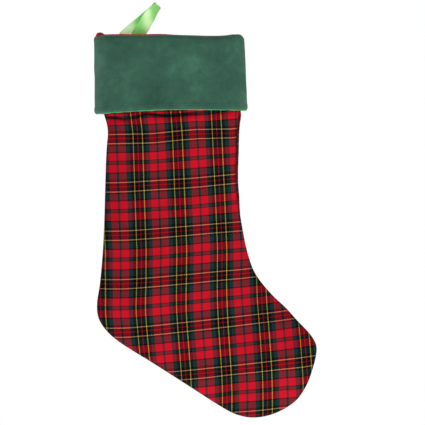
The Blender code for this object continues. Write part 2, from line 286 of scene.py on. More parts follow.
def tartan_material(name):
    s = Shader(name)
    across, down = s.cloth_axes()
    warp, weft = (s.ramp(s.maths("FRACT", s.maths("DIVIDE", along, sett)), stripe_stops(stripes), "CONSTANT")
                  for along, sett, stripes in ((across, SETT_ACROSS, WARP), (down, SETT_DOWN, WEFT)))
    i = s.maths("DIVIDE", across, THREAD_PITCH)
    j = s.maths("DIVIDE", down, THREAD_PITCH)
    diagonal = s.maths("ADD", s.maths("FLOOR", i), s.maths("FLOOR", j))
    twill = s.maths("LESS_THAN", s.maths("FLOORED_MODULO", diagonal, 4.0), 1.5)  # two over, two under
    share = s.maths("MULTIPLY_ADD", twill, WARP_OVER - WARP_UNDER, WARP_UNDER)
    woven = s.mix(share, weft, warp)
    colour = s.node("ShaderNodeGamma", {"Color": woven, "Gamma": DISPLAY_GAMMA}).outputs[0]
    fading = s.noise(s.place(), 26.0, 2.0)
    colour = s.mix(s.stretch(fading, 0.35, 0.65, 0.0, 0.10), colour, srgb(20, 6, 10))
    # painted shade: near-black is mixed into the cloth at the bottom of the drag fold and in the turned seam
    painted_shade = s.maths("MULTIPLY", s.point_value("fold"), FOLD_SHADE_PAINTED)
    s.set("Base Color", s.mix(painted_shade, colour, srgb(8, 4, 6)))
    rib_i, rib_j = s.wave(i, 1.0), s.wave(j, 1.0)
    rib = s.maths("MULTIPLY_ADD", s.maths("SUBTRACT", rib_i, rib_j), twill, rib_j)
    slub = s.noise(s.place(), 140.0, 3.0)
    height = s.maths("MULTIPLY_ADD", slub, 1.2, rib)
    s.set("Normal", s.bump(height, 0.35, 0.16 * MM))
    s.set("Roughness", s.stretch(fading, 0.3, 0.7, 0.72, 0.86))
    s.set("Sheen Weight", 0.02).set("Sheen Roughness", 0.5)
    s.set("Specular IOR Level", 0.05)
    return s.material


# ------------------------------------------------------------------ the other cloths and threads


def velour_material(name):
    s = Shader(name)
    place = s.place()
    cloud = s.noise(place, 38.0, 4.0, 0.6)
    patch = s.noise(place, 120.0, 3.0, 0.6)
    nap = s.noise(place, 1500.0, 2.0, 0.6)
    tone = s.maths("MULTIPLY_ADD", patch, 0.5, s.maths("MULTIPLY", cloud, 0.5))
    # the nap's tone, plus painted sheen at the cuff's ends and painted shade along its rim
    tone = s.maths("ADD", s.stretch(tone, 0.32, 0.68, 0.22, 0.78), s.point_value("nap_and_painted_light"))
    colour = s.ramp(tone, ((0.0, srgb(38, 75, 61)), (0.5, srgb(54, 95, 78)), (1.0, srgb(72, 118, 99))))
    s.set("Base Color", s.mix(s.stretch(nap, 0.35, 0.65, 0.0, 0.30), colour, srgb(30, 62, 50)))
    s.set("Roughness", 0.92).set("Specular IOR Level", 0.12)
    s.set("Sheen Weight", 0.7).set("Sheen Roughness", 0.5).set("Sheen Tint", (0.55, 0.85, 0.70, 1))
    s.set("Normal", s.bump(nap, 0.6, 0.35 * MM, s.bump(patch, 0.35, 0.8 * MM)))
    return s.material


def satin_material(name, light, dark, pitch, sheen=0.1):
    """Satin: long floats along the cloth, a soft shine, and painted highlight bands where the floats would
    catch the light.
    """
    s = Shader(name)
    fine = s.wave(s.cloth_axes()[0], pitch)
    slow = s.noise(s.place(), 60.0, 2.0)
    floats = s.node("ShaderNodeMapping", {"Vector": s.cloth(), "Scale": (2600.0, 60.0, 1.0)}).outputs[0]
    streak = s.noise(floats, 1.0, 2.0)
    tone = s.maths("MULTIPLY_ADD", streak, 0.5, s.maths("MULTIPLY", slow, 0.5))
    # painted highlight: the per-point values lighten the satin toward its light colour
    tone = s.maths("ADD", s.stretch(tone, 0.30, 0.70, -0.12, 0.12), s.point_value("painted_sheen"))
    s.set("Base Color", s.mix(s.stretch(tone, 0.0, 1.0), dark, light))
    s.set("Normal", s.bump(s.maths("MULTIPLY_ADD", fine, 0.5, streak), 0.25, 0.08 * MM))
    s.set("Roughness", s.stretch(streak, 0.3, 0.7, 0.32, 0.44))
    s.set("Anisotropic", 0.4).set("Sheen Weight", sheen).set("Specular IOR Level", 0.5)
    return s.material


def lining_material(name):
    s = Shader(name)
    i, j = (s.wave(along, 0.45 * MM) for along in s.cloth_axes())
    slow = s.noise(s.place(), 45.0, 3.0)
    colour = s.mix(s.stretch(slow, 0.35, 0.65), srgb(182, 12, 24), srgb(210, 22, 36))
    # painted shade: the lining is darkened toward deep red where its fold values are set, inside the corner
    # roll's hollow
    s.set("Base Color", s.mix(s.point_value("fold"), colour, srgb(40, 2, 8)))
    s.set("Normal", s.bump(s.maths("MULTIPLY", i, j), 0.3, 0.1 * MM))
    s.set("Roughness", s.stretch(slow, 0.3, 0.7, 0.62, 0.74)).set("Sheen Weight", 0.15)
    return s.material


def thread_material(name, light, dark):
    s = Shader(name)
    twist = s.node("ShaderNodeTexWave", {"Vector": s.place(), "Scale": 900.0, "Distortion": 1.5},
                   bands_direction="DIAGONAL").outputs["Fac"]
    s.set("Base Color", s.mix(twist, dark, light))
    s.set("Normal", s.bump(twist, 0.5, 0.08 * MM))
    s.set("Roughness", 0.6).set("Sheen Weight", 0.2)
    return s.material


# ------------------------------------------------------------------ pattern of the bag

# heel side and instep side of the bag, as (u, v) in millimetres, from the rim to the toe
HEEL_SIDE = ((-6.0, 0.0), (-4.8, 50.0), (-2.4, 96.0), (0.6, 106.0), (2.4, 114.0), (3.0, 123.0), (1.9, 135.0),
             (0.8, 152.0), (-0.4, 190.0), (-1.5, 230.0), (-3.4, 270.0), (-7.2, 312.0), (-10.7, 336.0),
             (-9.0, 353.0), (1.0, 369.0), (16.0, 382.2), (60.0, 410.0), (105.0, 438.7), (140.0, 461.2),
             (162.0, 473.2), (182.0, 477.6), (205.0, 474.6), (226.0, 465.2), (239.5, 454.8), (247.0, 444.5))
INSTEP_SIDE = ((162.5, 0.0), (166.0, 50.0), (168.4, 96.0), (166.2, 115.0), (165.0, 148.0),
               (164.4, 183.0), (167.2, 214.0), (170.8, 243.0), (177.0, 272.0), (185.0, 295.0),
               (195.0, 310.0), (203.0, 319.5), (210.0, 327.0), (225.0, 341.0), (240.0, 357.7),
               (252.0, 370.0), (259.0, 379.0), (263.4, 388.5), (262.6, 401.0), (258.8, 416.0),
               (253.0, 433.0), (247.0, 444.5))
BAG_STEP = 5.0 * MM  # spacing of the cloth's points
DEPTHS = ((0, 9.5), (60, 10.5), (110, 12.5), (220, 14.0), (360, 16.5), (600, 16.5))  # v, half-depth, mm
HALF_WIDTHS = ((0, 0.083), (0.30, 0.088), (0.36, 0.082), (0.46, 0.070))  # v, seam to middle
ROUNDNESS = 0.70


def smoothstep(low, high, x):
    t = np.clip((np.asarray(x, float) - low) / (high - low), 0, 1)
    return t * t * (3 - 2 * t)


def hump(x, middle, width):
    return np.exp(-((x - middle) / width) ** 2)


def smooth_line(points, step):
    """Points a step apart on a smooth curve through the given points."""
    points = [np.array(p, float) for p in points]
    points = [2 * points[0] - points[1]] + points + [2 * points[-1] - points[-2]]
    fine = []
    for p0, p1, p2, p3 in zip(points, points[1:], points[2:], points[3:]):
        knots = [0.0]
        for a, b in ((p0, p1), (p1, p2), (p2, p3)):
            knots.append(knots[-1] + max(np.linalg.norm(b - a), 1e-9) ** 0.5)
        t0, t1, t2, t3 = knots
        for t in np.linspace(t1, t2, 24, endpoint=False):
            a1 = (t1 - t) / (t1 - t0) * p0 + (t - t0) / (t1 - t0) * p1
            a2 = (t2 - t) / (t2 - t1) * p1 + (t - t1) / (t2 - t1) * p2
            a3 = (t3 - t) / (t3 - t2) * p2 + (t - t2) / (t3 - t2) * p3
            b1 = (t2 - t) / (t2 - t0) * a1 + (t - t0) / (t2 - t0) * a2
            b2 = (t3 - t) / (t3 - t1) * a2 + (t - t1) / (t3 - t1) * a3
            fine.append((t2 - t) / (t2 - t1) * b1 + (t - t1) / (t2 - t1) * b2)
    fine.append(points[-2])
    fine = np.array(fine)
    lengths = np.concatenate(([0], np.cumsum(np.linalg.norm(np.diff(fine, axis=0), axis=1))))
    count = max(2, round(lengths[-1] / step) + 1)
    at = np.linspace(0, lengths[-1], count)
    return np.stack([np.interp(at, lengths, fine[:, k]) for k in range(fine.shape[1])], axis=1)


def seam_distance(points, seam):
    """Distance of each point to the seam's polyline."""
    a, b = seam[:-1], seam[1:]
    along = b - a
    squared = (along ** 2).sum(1)
    best = np.full(len(points), 1e9)
    for k in range(len(a)):
        t = np.clip(((points - a[k]) @ along[k]) / squared[k], 0, 1)
        nearest = a[k] + t[:, None] * along[k]
        best = np.minimum(best, np.linalg.norm(points - nearest, axis=1))
    return best


def winding(points, polygon):
    """Whether each point is inside a polygon."""
    x, y = points[:, 0], points[:, 1]
    inside = np.zeros(len(points), bool)
    for (x0, y0), (x1, y1) in zip(polygon, np.roll(polygon, -1, axis=0)):
        crosses = (y0 > y) != (y1 > y)
        if y1 != y0:
            inside ^= crosses & (x < (x1 - x0) * (y - y0) / (y1 - y0) + x0)
    return inside


def cut_pattern():
    """Flat cut of one face of the bag: points (u, v), the seam's first, triangles, count of seam points."""
    heel = smooth_line(HEEL_SIDE, BAG_STEP / MM) * MM
    instep = smooth_line(INSTEP_SIDE, BAG_STEP / MM) * MM
    seam = np.concatenate((heel, instep[-2::-1]))
    rim_count = round((seam[-1] - seam[0])[0] / BAG_STEP)
    rim = [seam[-1] + (seam[0] - seam[-1]) * k / rim_count for k in range(1, rim_count)]
    outline = np.concatenate((seam, rim))
    lo, hi = outline.min(0), outline.max(0)
    inside = []
    row = 0
    v = lo[1] + BAG_STEP * 0.8
    while v < hi[1]:
        u = lo[0] + (BAG_STEP / 2 if row % 2 else 0)
        while u < hi[0]:
            inside.append((u, v))
            u += BAG_STEP
        v += BAG_STEP * math.sqrt(0.75)
        row += 1
    inside = np.array(inside)
    clear = seam_distance(inside, np.vstack((outline, outline[:1]))) > BAG_STEP * 0.62
    points = np.vstack((outline, inside[winding(inside, outline) & clear]))
    found = geometry.delaunay_2d_cdt([Vector(p) for p in points], [], [list(range(len(outline)))], 1, 1e-9)
    _, _, faces, origins = found[:4]
    order = [o[0] for o in origins]
    triangles = np.array([[order[i] for i in face] for face in faces])
    return points, triangles, len(seam)


def bag_depth(points, seam):
    """Half-depth of the bag over each point of the pattern."""
    width = np.interp(points[:, 1], *zip(*HALF_WIDTHS))
    far = np.clip(seam_distance(points, seam) / width, 0, 1)
    table = np.array(DEPTHS) * MM
    return np.interp(points[:, 1], table[:, 0], table[:, 1]) * (1 - (1 - far) ** 2) ** ROUNDNESS


BACK_MIRROR = 176.0  # u on the front and on the back of the same stripe add up to this, mm
GRAIN_U, GRAIN_V = 31.3, 123.7  # where a gold line and a cream line cross, mm
SPARE_REPEATS = 40  # keeps the position on the cloth above zero


def grain(points, face):
    """Where each pattern point lies on the tartan: metres across and along the cloth.

    The stripes lean and bend a little where the cloth was pulled: drift moves the warp toward the
    instep and rise moves the weft up, both in mm.
    """
    u, v = points[:, 0] / MM, points[:, 1] / MM
    if face > 0:
        u = BACK_MIRROR - u  # the back is cut from the cloth the other way round
    drift = GRAIN_U + 0.036 * (v - 105) - 1.7 * np.sin(2 * np.pi * np.clip(v - 270, 0, 220) / 220)
    leg = smoothstep(90, 130, v) * (1 - smoothstep(300, 350, v))
    drift += leg * (2.5 * hump(u, 40, 29) + 1.2 * hump(u, 100, 22))
    drift += 1.3 * smoothstep(190, 320, v) * (1 - smoothstep(320, 350, v)) * hump(u, 6, 12)
    slope = 0.085 + 0.027 * np.clip((v - 280) / 80, 0, 1)
    rise = slope * (np.sqrt((u - 27) ** 2 + 15 ** 2) + (u - 27)) / 2
    rise -= 3.5 * np.clip((u - 115) / 40, 0, 1) * hump(v, 115, 35)
    rise -= (1.4 * hump(u, 112, 42) * (1 - smoothstep(212, 248, v))
             + 1.6 * hump(u, 60, 26) * (1 - smoothstep(142, 190, v)))
    rise -= (1.6 * smoothstep(212, 248, u) * smoothstep(385, 440, v)
             - 0.9 * hump(u, 165, 20) * smoothstep(408, 438, v))
    # the folds under the cuff take up some of the cloth's length
    rise -= 5.0 * (1 - smoothstep(98, 116, v)) * (1 - 0.4 * hump(u, 60, 20) - 0.85 * smoothstep(118, 160, u))
    return np.stack(((u - drift) * MM + SPARE_REPEATS * SETT_ACROSS,
                     (v + rise - GRAIN_V) * MM + SPARE_REPEATS * SETT_DOWN), axis=1)


# ------------------------------------------------------------------ mesh helpers


def read_vectors(items, name):
    out = np.empty(len(items) * 3, np.float32)
    items.foreach_get(name, out)
    return out.reshape(-1, 3).astype(float)


def finish_mesh(name, verts, faces, material, uvs, body=BODY):
    mesh = bpy.data.meshes.new(name)
    mesh.from_pydata([tuple(v) for v in verts], [], [tuple(f) for f in faces])
    if uvs is not None:
        layer = mesh.uv_layers.new(name="grain")
        loops = np.empty(len(mesh.loops), np.int32)
        mesh.loops.foreach_get("vertex_index", loops)
        layer.data.foreach_set("uv", np.asarray(uvs, np.float32)[loops].ravel())
    mesh.shade_smooth()
    mesh.materials.append(material)
    obj = add_object(name, mesh)
    if body:
        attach(obj, body)
    return obj


def set_value(obj, name, values):
    """Stores one number per point of a mesh, for its material."""
    attribute = obj.data.attributes.new(name, "FLOAT", "POINT")
    attribute.data.foreach_set("value", np.asarray(values, np.float32))


def apply_modifiers(obj):
    """Replaces the mesh of an object with what its modifiers make of it."""
    graph = bpy.context.evaluated_depsgraph_get()
    made = bpy.data.meshes.new_from_object(obj.evaluated_get(graph), depsgraph=graph)
    old = obj.data
    obj.modifiers.clear()
    obj.data = made
    made.name = old.name
    bpy.data.meshes.remove(old)


def add_smoothing(obj, levels):
    sub = obj.modifiers.new("smooth", "SUBSURF")
    sub.levels = sub.render_levels = levels
    sub.boundary_smooth = "PRESERVE_CORNERS"


def thicken(obj, thickness, offset=-1, levels=1):
    """Smooths a cloth and gives it its thickness: inward at offset -1, both ways at 0."""
    if levels:
        add_smoothing(obj, levels)
    solid = obj.modifiers.new("thickness", "SOLIDIFY")
    solid.thickness = thickness
    solid.offset = offset
    apply_modifiers(obj)


def fix_normals(obj):
    bm = bmesh.new()
    bm.from_mesh(obj.data)
    bmesh.ops.recalc_face_normals(bm, faces=bm.faces)
    bm.to_mesh(obj.data)
    bm.free()


def grid_faces(rows, columns, flip=False):
    faces = []
    for i in range(rows - 1):
        for j in range(columns - 1):
            a = i * columns + j
            quad = (a, a + 1, a + columns + 1, a + columns)
            faces.append(quad[::-1] if flip else quad)
    return faces


def swells(u, v, reach_u, reach_v, seed):
    """Smooth random heights over the pattern, -1 to 1; the reaches are a swell's size in mm."""
    return np.array([noise.noise(Vector((a / reach_u, b / reach_v, seed))) for a, b in zip(u, v)])


# ------------------------------------------------------------------ cloth simulation of the bag

CLOTH_EASE = 1.009  # the cut is this much larger than the finished outline
CUT_MIDDLE = np.array((0.08, 0.24))
FRAMES = 26
PINNED_V = 0.070  # the cloth is held this far down, under the cuff
LET_GO = 0.030  # and less and less over this much further
CLOTH = {"quality": 7, "mass": 0.12, "tension_stiffness": 12, "compression_stiffness": 12,
         "shear_stiffness": 4, "bending_stiffness": 6, "tension_damping": 8, "compression_damping": 8,
         "air_damping": 2, "vertex_group_mass": "pins", "pin_stiffness": 2.0,
         "use_pressure": True, "uniform_pressure_force": 0.9}
SAG_GRAVITY = 0.04


def world_points(points, y):
    return np.stack((U0_X + points[:, 0], y, RIM_Z - points[:, 1]), axis=1)


def pin(bag, used, points):
    pins = bag.vertex_groups.new(name="pins")
    for new, old in enumerate(used):
        v = points[old % len(points)][1]
        hold = 1.0 if v < PINNED_V else max(0.0, 1 - (v - PINNED_V) / LET_GO) * 0.5
        if hold > 0:
            pins.add([new], hold, "REPLACE")


def simulate_bag(points, triangles, seam_count, depth):
    """Sews front and back together, lets the cloth settle, and returns both faces' points."""
    count = len(points)
    back_of = np.arange(count) + count
    back_of[:seam_count] = np.arange(seam_count)  # the seam is shared
    faces = np.vstack((triangles[:, ::-1], back_of[triangles]))
    start = np.vstack((world_points(points, -depth), world_points(points, depth)))
    cut = (points - CUT_MIDDLE) * CLOTH_EASE + CUT_MIDDLE
    flat = np.vstack([world_points(cut, np.full(count, y)) for y in (-0.0003, 0.0003)])
    used = np.unique(faces)
    index = np.full(2 * count, -1)
    index[used] = np.arange(len(used))

    mesh = bpy.data.meshes.new("bag_sim")
    mesh.from_pydata(start[used].tolist(), [], index[faces].tolist())
    bag = add_object("bag_sim", mesh)
    bag.shape_key_add(name="Basis")
    key = bag.shape_key_add(name="cut")
    key.data.foreach_set("co", flat[used].astype(np.float32).ravel())
    key.value = 0.0
    pin(bag, used, points)
    modifier = bag.modifiers.new("cloth", "CLOTH")
    for setting, value in CLOTH.items():
        setattr(modifier.settings, setting, value)
    modifier.settings.effector_weights.gravity = SAG_GRAVITY
    modifier.settings.rest_shape_key = key
    modifier.collision_settings.use_collision = False
    modifier.collision_settings.use_self_collision = False
    modifier.point_cache.frame_start = 1
    modifier.point_cache.frame_end = FRAMES
    scene = bpy.context.scene
    for number in range(1, FRAMES + 1):
        scene.frame_set(number)
    evaluated = bag.evaluated_get(bpy.context.evaluated_depsgraph_get())
    result = start.copy()
    result[used] = read_vectors(evaluated.data.vertices, "co")
    bpy.data.objects.remove(bag)
    bpy.data.meshes.remove(mesh)
    scene.frame_set(1)
    return result[:count], result[back_of]


def keep_outline(front, back, points, seam_count):
    """Moves the settled cloth so that its seam lies on the pattern's outline again."""
    target = world_points(points[:seam_count], np.zeros(seam_count))
    off = target - front[:seam_count]
    kernel = np.array((1, 3, 6, 7, 6, 3, 1), float)
    kernel /= kernel.sum()
    smooth = np.stack([np.convolve(np.pad(off[:, k], 3, mode="edge"), kernel, "valid") for k in range(3)], 1)
    for cloth in (front, back):
        flat = points[:, None, :] - points[None, :seam_count, :]
        weight = 1 / ((flat ** 2).sum(2) + (2.0 * MM) ** 2) ** 1.5
        weight /= weight.sum(1, keepdims=True)
        cloth += weight @ smooth
    return front, back


# ------------------------------------------------------------------ the bag: tartan and lining

FULLEST = 2.5 * MM  # the cloth may swell this much past the bag's cut depth before it is held back
HELD_BACK = 0.7  # share of the swelling past that which is taken off again
TARTAN_THICK = 0.8 * MM
TARTAN_HIDES = 9 * MM  # the tartan's top edge lies this far below the rim, inside the cuff
LINING_THICK = 0.5 * MM
LINING_INSET = 1.6 * MM
LINING_STANDS = 2.7 * MM  # the lining shows above the rim at the heel side
LINING_GIVES = 3.4 * MM  # how far it gives way behind the fold below the hem
SEAM_TURN = 2.4 * MM  # how far the instep seam turns to the front below the cuff
SEAM_PULL = 1.9 * MM  # and how far it is drawn in there
SEAM_PROUD = 0.6 * MM  # the sewn edge stands this far outside the cut line
SEAM_RAMP = 22 * MM  # layers move in or out from the seam over this distance
HALF_GAP = 0.25 * MM  # front and back pieces meet this far from the middle plane


def inward(points, seam):
    """Direction away from the seam on the pattern, fading out with distance from it."""
    h = 1.0 * MM
    gradient = np.stack([(seam_distance(points + d, seam) - seam_distance(points - d, seam)) / (2 * h)
                         for d in (np.array((h, 0)), np.array((0, h)))], axis=1)
    return gradient * (1 - smoothstep(0, SEAM_RAMP, seam_distance(points, seam)))[:, None]


def seam_inward(seam):
    """Unit direction into the bag at each seam point."""
    tangent = np.gradient(seam, axis=0)
    normal = np.stack((tangent[:, 1], -tangent[:, 0]), axis=1)
    normal /= np.linalg.norm(normal, axis=1)[:, None]
    if ((CUT_MIDDLE - seam[5]) @ normal[5]) < 0:
        normal = -normal
    return normal


def outward_faces(verts, faces, side):
    """The faces, turned if need be so that they look away from the bag's middle plane."""
    a, b, c = (verts[faces[:, k]] for k in range(3))
    if side * np.cross(b - a, c - a)[:, 1].sum() < 0:
        return faces[:, ::-1]
    return faces


def make_bag(materials):
    """Makes the tartan and lining panels; returns the seam and what the linings' sheets need."""
    points, triangles, seam_count = cut_pattern()
    seam = points[:seam_count]
    far = seam_distance(points, seam)
    depth = bag_depth(points, seam)
    front, back = simulate_bag(points, triangles, seam_count, depth)
    front, back = keep_outline(front, back, points, seam_count)
    area = sum(abs(np.cross(points[b] - points[a], points[c] - points[a])) / 2 for a, b, c in triangles)
    area = float(area) * CLOTH_EASE ** 2
    cut = tuple(float(size) * CLOTH_EASE for size in points.max(0) - points.min(0))
    into = inward(points, seam)
    into[:seam_count] = seam_inward(seam)
    linings = []
    for (side, word), cloth in zip(SIDES, (front, back)):
        out = np.abs(cloth[:, 1])
        out = np.sign(cloth[:, 1]) * (out - np.maximum(out - depth - FULLEST, 0) * HELD_BACK)
        cloth[:, 1] = side * np.maximum(side * out, 0) + side * HALF_GAP
        faces = outward_faces(cloth, triangles, side)

        outer = cloth.copy()
        outer[:, 0] -= into[:, 0] * SEAM_PROUD
        outer[:, 2] += into[:, 1] * SEAM_PROUD
        outer, flat, fine_faces = refine(outer, points, faces)
        outer, flat, fine_faces = split_where_needed(outer, flat, fine_faces, seam)
        far_here = seam_distance(flat, seam)
        outer = shape_details(outer, flat, far_here, side)
        outer[:, 2] -= TARTAN_HIDES * (1 - smoothstep(0, 0.045, flat[:, 1]))
        panel = finish_mesh("tartan_" + word, outer, fine_faces, materials["tartan"], grain(flat, side))
        # painted shade for the tartan, darkest in the drag fold and in the turned seam
        set_value(panel, "fold", painted_fold_shade(flat, far_here, side))
        thicken(panel, TARTAN_THICK, levels=0)
        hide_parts("body_" + word)

        inner = cloth.copy()
        inner[:, 0] += into[:, 0] * LINING_INSET
        inner[:, 2] -= into[:, 1] * LINING_INSET
        from_seam = smoothstep(0, 12 * MM, far)
        inner[:, 1] -= side * np.minimum(1.9 * MM * from_seam, np.abs(inner[:, 1]) * 0.8)
        if side < 0:
            inner[:, 1] += LINING_GIVES * hump(points[:, 1] / MM, 101, 8) * from_seam
        inner = lining_mouth(inner, points, side)
        panel = finish_mesh("lining_cloth_" + word, inner, faces, materials["lining"], points)
        thicken(panel, LINING_THICK)
        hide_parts("lining_" + word)
        linings.append(panel)
    return seam, linings, cut, area


def subdivided(points, faces):
    mesh = bpy.data.meshes.new("refine")
    mesh.from_pydata(points.tolist(), [], faces.tolist())
    obj = add_object("refine", mesh)
    add_smoothing(obj, 1)
    apply_modifiers(obj)
    mesh = obj.data
    fine = read_vectors(mesh.vertices, "co")
    split = [tuple(p.vertices) for p in mesh.polygons]
    bpy.data.objects.remove(obj)
    bpy.data.meshes.remove(mesh)
    return fine, split


def refine(verts, flat, faces):
    """Splits the cloth's triangles once and smooths them; the cut pattern is split the same way."""
    fine, split = subdivided(verts, faces)
    fine_flat, _ = subdivided(np.column_stack((flat, np.zeros(len(flat)))), faces)
    return fine, fine_flat[:, :2], split


def split_where_needed(verts, flat, faces, seam):
    """Halves the mesh's edges again in the folds under the cuff and along the turned seam."""
    u, v = flat[:, 0] / MM, flat[:, 1] / MM
    folds = (v > 88) & (v < 122)
    turned = (v > 76) & (v < 258) & (u > 100) & (seam_distance(flat, seam) < 13 * MM)
    chosen = folds | turned
    mesh = bpy.data.meshes.new("split")
    mesh.from_pydata(verts.tolist(), [], faces)
    bm = bmesh.new()
    bm.from_mesh(mesh)
    layer = bm.verts.layers.float_vector.new("flat")
    for vert, (a, b) in zip(bm.verts, flat):
        vert[layer] = (a, b, 0.0)
    edges = [e for e in bm.edges if chosen[e.verts[0].index] and chosen[e.verts[1].index]]
    bmesh.ops.subdivide_edges(bm, edges=edges, cuts=1, use_grid_fill=True)
    bm.verts.index_update()
    new_verts = np.array([v.co[:] for v in bm.verts])
    new_flat = np.array([v[layer][:2] for v in bm.verts])
    new_faces = [tuple(v.index for v in f.verts) for f in bm.faces]
    bm.free()
    bpy.data.meshes.remove(mesh)
    return new_verts, new_flat, new_faces


# ------------------------------------------------------------------ folds, creases and the turned seam, with the shade painted into them

# the fold that the cuff's weight presses into the front just below the hem: u, v and depth, 0 to 1
DRAG_FOLD = ((-8.0, 100.0, 0.9), (0.0, 101.3, 1.0), (13.5, 102.7, 1.0), (23.6, 104.3, 0.9),
             (32.0, 102.9, 0.6),
             (41.0, 100.0, 0.8), (51.0, 97.9, 1.0), (62.0, 99.2, 1.1), (73.0, 100.3, 1.1), (86.0, 99.9, 1.0),
             (98.0, 98.7, 1.05), (112.0, 97.5, 0.8), (126.0, 96.2, 0.5), (150.0, 95.0, 0.35),
             (170.0, 93.0, 0.0))
# across the fold, in mm below its line: the valley and the rolls of cloth below and above it
DRAG_SHAPE = ((-2.6, 0, 1.8), (1.8, 5.0, 3.4), (1.4, -3.8, 2.4))  # height, place, reach
# soft creases of each side: start, end, reach and height in mm
CREASES = {
    -1: (((112, 104), (158, 99), 3.4, 1.0), ((12, 228), (30, 250), 3.6, 1.2),
         ((162, 205), (150, 214), 3.4, 0.8), ((150, 262), (96, 292), 7.0, 0.8),
         ((6, 300), (46, 318), 6.0, 0.7)),
    1: (((160, 104), (88, 100), 3.4, 2.0), ((120, 110), (40, 106), 3.6, 1.4),
         ((158, 258), (100, 290), 7.0, 0.9),
        ((4, 302), (44, 316), 6.0, 0.9)),
}
PUCKER = 0.55 * MM  # height of the ripples along the seam
SWELL = 0.9 * MM  # height of the broad waves of the cloth
BACK_ROLLS = 5.2 * MM  # how far the back's cloth rolls out past the turned seam


def drag_fold(u, v):
    """How far below the fold's line each point is, in mm, and how deep the fold is there."""
    line = smooth_line(DRAG_FOLD, 2.0)
    return v - np.interp(u, line[:, 0], line[:, 1]), np.interp(u, line[:, 0], line[:, 2])


def turned_seam(u, v):
    """Where the seam at the instep side turns to the front: 0 to 1."""
    return smoothstep(84, 100, v) * (1 - smoothstep(195, 245, v)) * (u > 100)


def crease(u, v, start, end, reach, height):
    """Height of a soft fold along a line: up on the line, down on its lower side."""
    start, end = np.array(start, float), np.array(end, float)
    along = end - start
    length = np.linalg.norm(along)
    along /= length
    du, dv = u - start[0], v - start[1]
    s = (du * along[0] + dv * along[1]) / length
    x = (du * -along[1] + dv * along[0]) / reach
    ends = smoothstep(-0.15, 0.2, s) * (1 - smoothstep(0.8, 1.15, s))
    return height * MM * ends * (hump(x, 0, 1) - 0.55 * hump(x, 1.6, 1))


def shape_details(cloth, points, far, side):
    """Adds seam puckers, the drag under the cuff and soft creases to the settled cloth."""
    out = cloth.copy()
    u, v = points[:, 0] / MM, points[:, 1] / MM
    ripple = swells(u, v, 11, 11, side * 3.1)
    broad = swells(u, v, 60, 75, side * 7.7)
    edge = hump(far, 0, 9 * MM) * smoothstep(0, 3 * MM, far)
    lift = PUCKER * ripple * edge + SWELL * broad * smoothstep(0, 30 * MM, far) * smoothstep(20, 70, v)
    for start, end, reach, height in CREASES[side]:
        lift += crease(u, v, start, end, reach, height)
    if side < 0:
        below, deep = drag_fold(u, v)
        fold = sum(height * hump(below, place, reach) for height, place, reach in DRAG_SHAPE)
        lift += MM * deep * fold * smoothstep(1 * MM, 8 * MM, far)
    out[:, 1] += side * lift
    # at the instep below the cuff the seam turns to the front, and the back's cloth rolls past it
    turned = turned_seam(u, v)
    near = hump(far, 0, 5 * MM) * turned
    out[:, 1] -= SEAM_TURN * near
    out[:, 0] -= SEAM_PULL * near
    if side > 0:
        x = far / (4 * MM)
        out[:, 0] += BACK_ROLLS * x * np.exp(1 - x) * turned
    return out


def painted_fold_shade(points, far, side):
    """Painted shade at each point, 0 to 1: how far it lies down in a fold or in the turned seam, where shade
    falls.
    """
    u, v = points[:, 0] / MM, points[:, 1] / MM
    value = 0.9 * turned_seam(u, v) * hump(far, 0, 1.6 * MM)
    if side < 0:
        below, deep = drag_fold(u, v)
        value += deep ** 2 * (1.0 * hump(below, 0, 1.6) + 0.2 * hump(below, 6.5, 3.2))
    return np.clip(value, 0, 1)


def lining_mouth(inner, points, side):
    """Brings the lining's top out to the cuff's roll and up above the rim."""
    u, v = points[:, 0], points[:, 1]
    blend = 1 - smoothstep(9 * MM, 26 * MM, v)
    mouth_lo, mouth_hi = HEEL_SIDE[0][0] * MM, INSTEP_SIDE[0][0] * MM
    t = np.clip((u - mouth_lo) / (mouth_hi - mouth_lo), 0, 1) * 2 - 1
    ring = cuff_surface(t, np.maximum(v, 0), (6.6 + 1.0 * smoothstep(0, 6 * MM, v)) * MM, side)
    stands = LINING_STANDS * (1 - 0.36 * smoothstep(50 * MM, 90 * MM, u)) + 0.15 * MM * np.sin(u / (9 * MM))
    ring[:, 2] += stands * (1 - smoothstep(0, 16 * MM, v))
    clear = 0.7 * MM * hump(v / MM, 6.5, 3.5)  # past the end of the velour that is turned in
    ring[:, 1] = side * np.maximum(side * ring[:, 1] - clear, 0.1 * MM)
    return inner * (1 - blend)[:, None] + ring * blend[:, None]


# ------------------------------------------------------------------ the cuff

cuff_lo, cuff_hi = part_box("cuff_front")
CUFF_HEEL = cuff_lo.x - U0_X  # u of the cuff's heel-side end
CUFF_FLARE = 4.0 * MM  # the hem reaches this much further toward the instep than the rim
CUFF_INSTEP = cuff_hi.x - U0_X - CUFF_FLARE
CUFF_HALF_HEM = -cuff_lo.y - 0.5 * MM
CUFF_HALF_RIM = CUFF_HALF_HEM - 6.9 * MM
CUFF_DEPTH = 91.7 * MM
CUFF_DEPTH_HEEL = RIM_Z - cuff_lo.z - 0.7 * MM
ROLL = 3.1 * MM  # radius of the velour's roll over the rim
VELOUR = 1.2 * MM
FACING = 0.35 * MM
HEM_ROWS = (5.0, 2.5)  # rows of stitching above the hem, mm
MOUTH_ROW = 4.6  # row of stitching below the rim, mm
COLUMNS = 85  # points along a cloth of the cuff
ACROSS = -np.cos(np.pi * np.arange(COLUMNS) / (COLUMNS - 1))  # their t, closer together at the ends
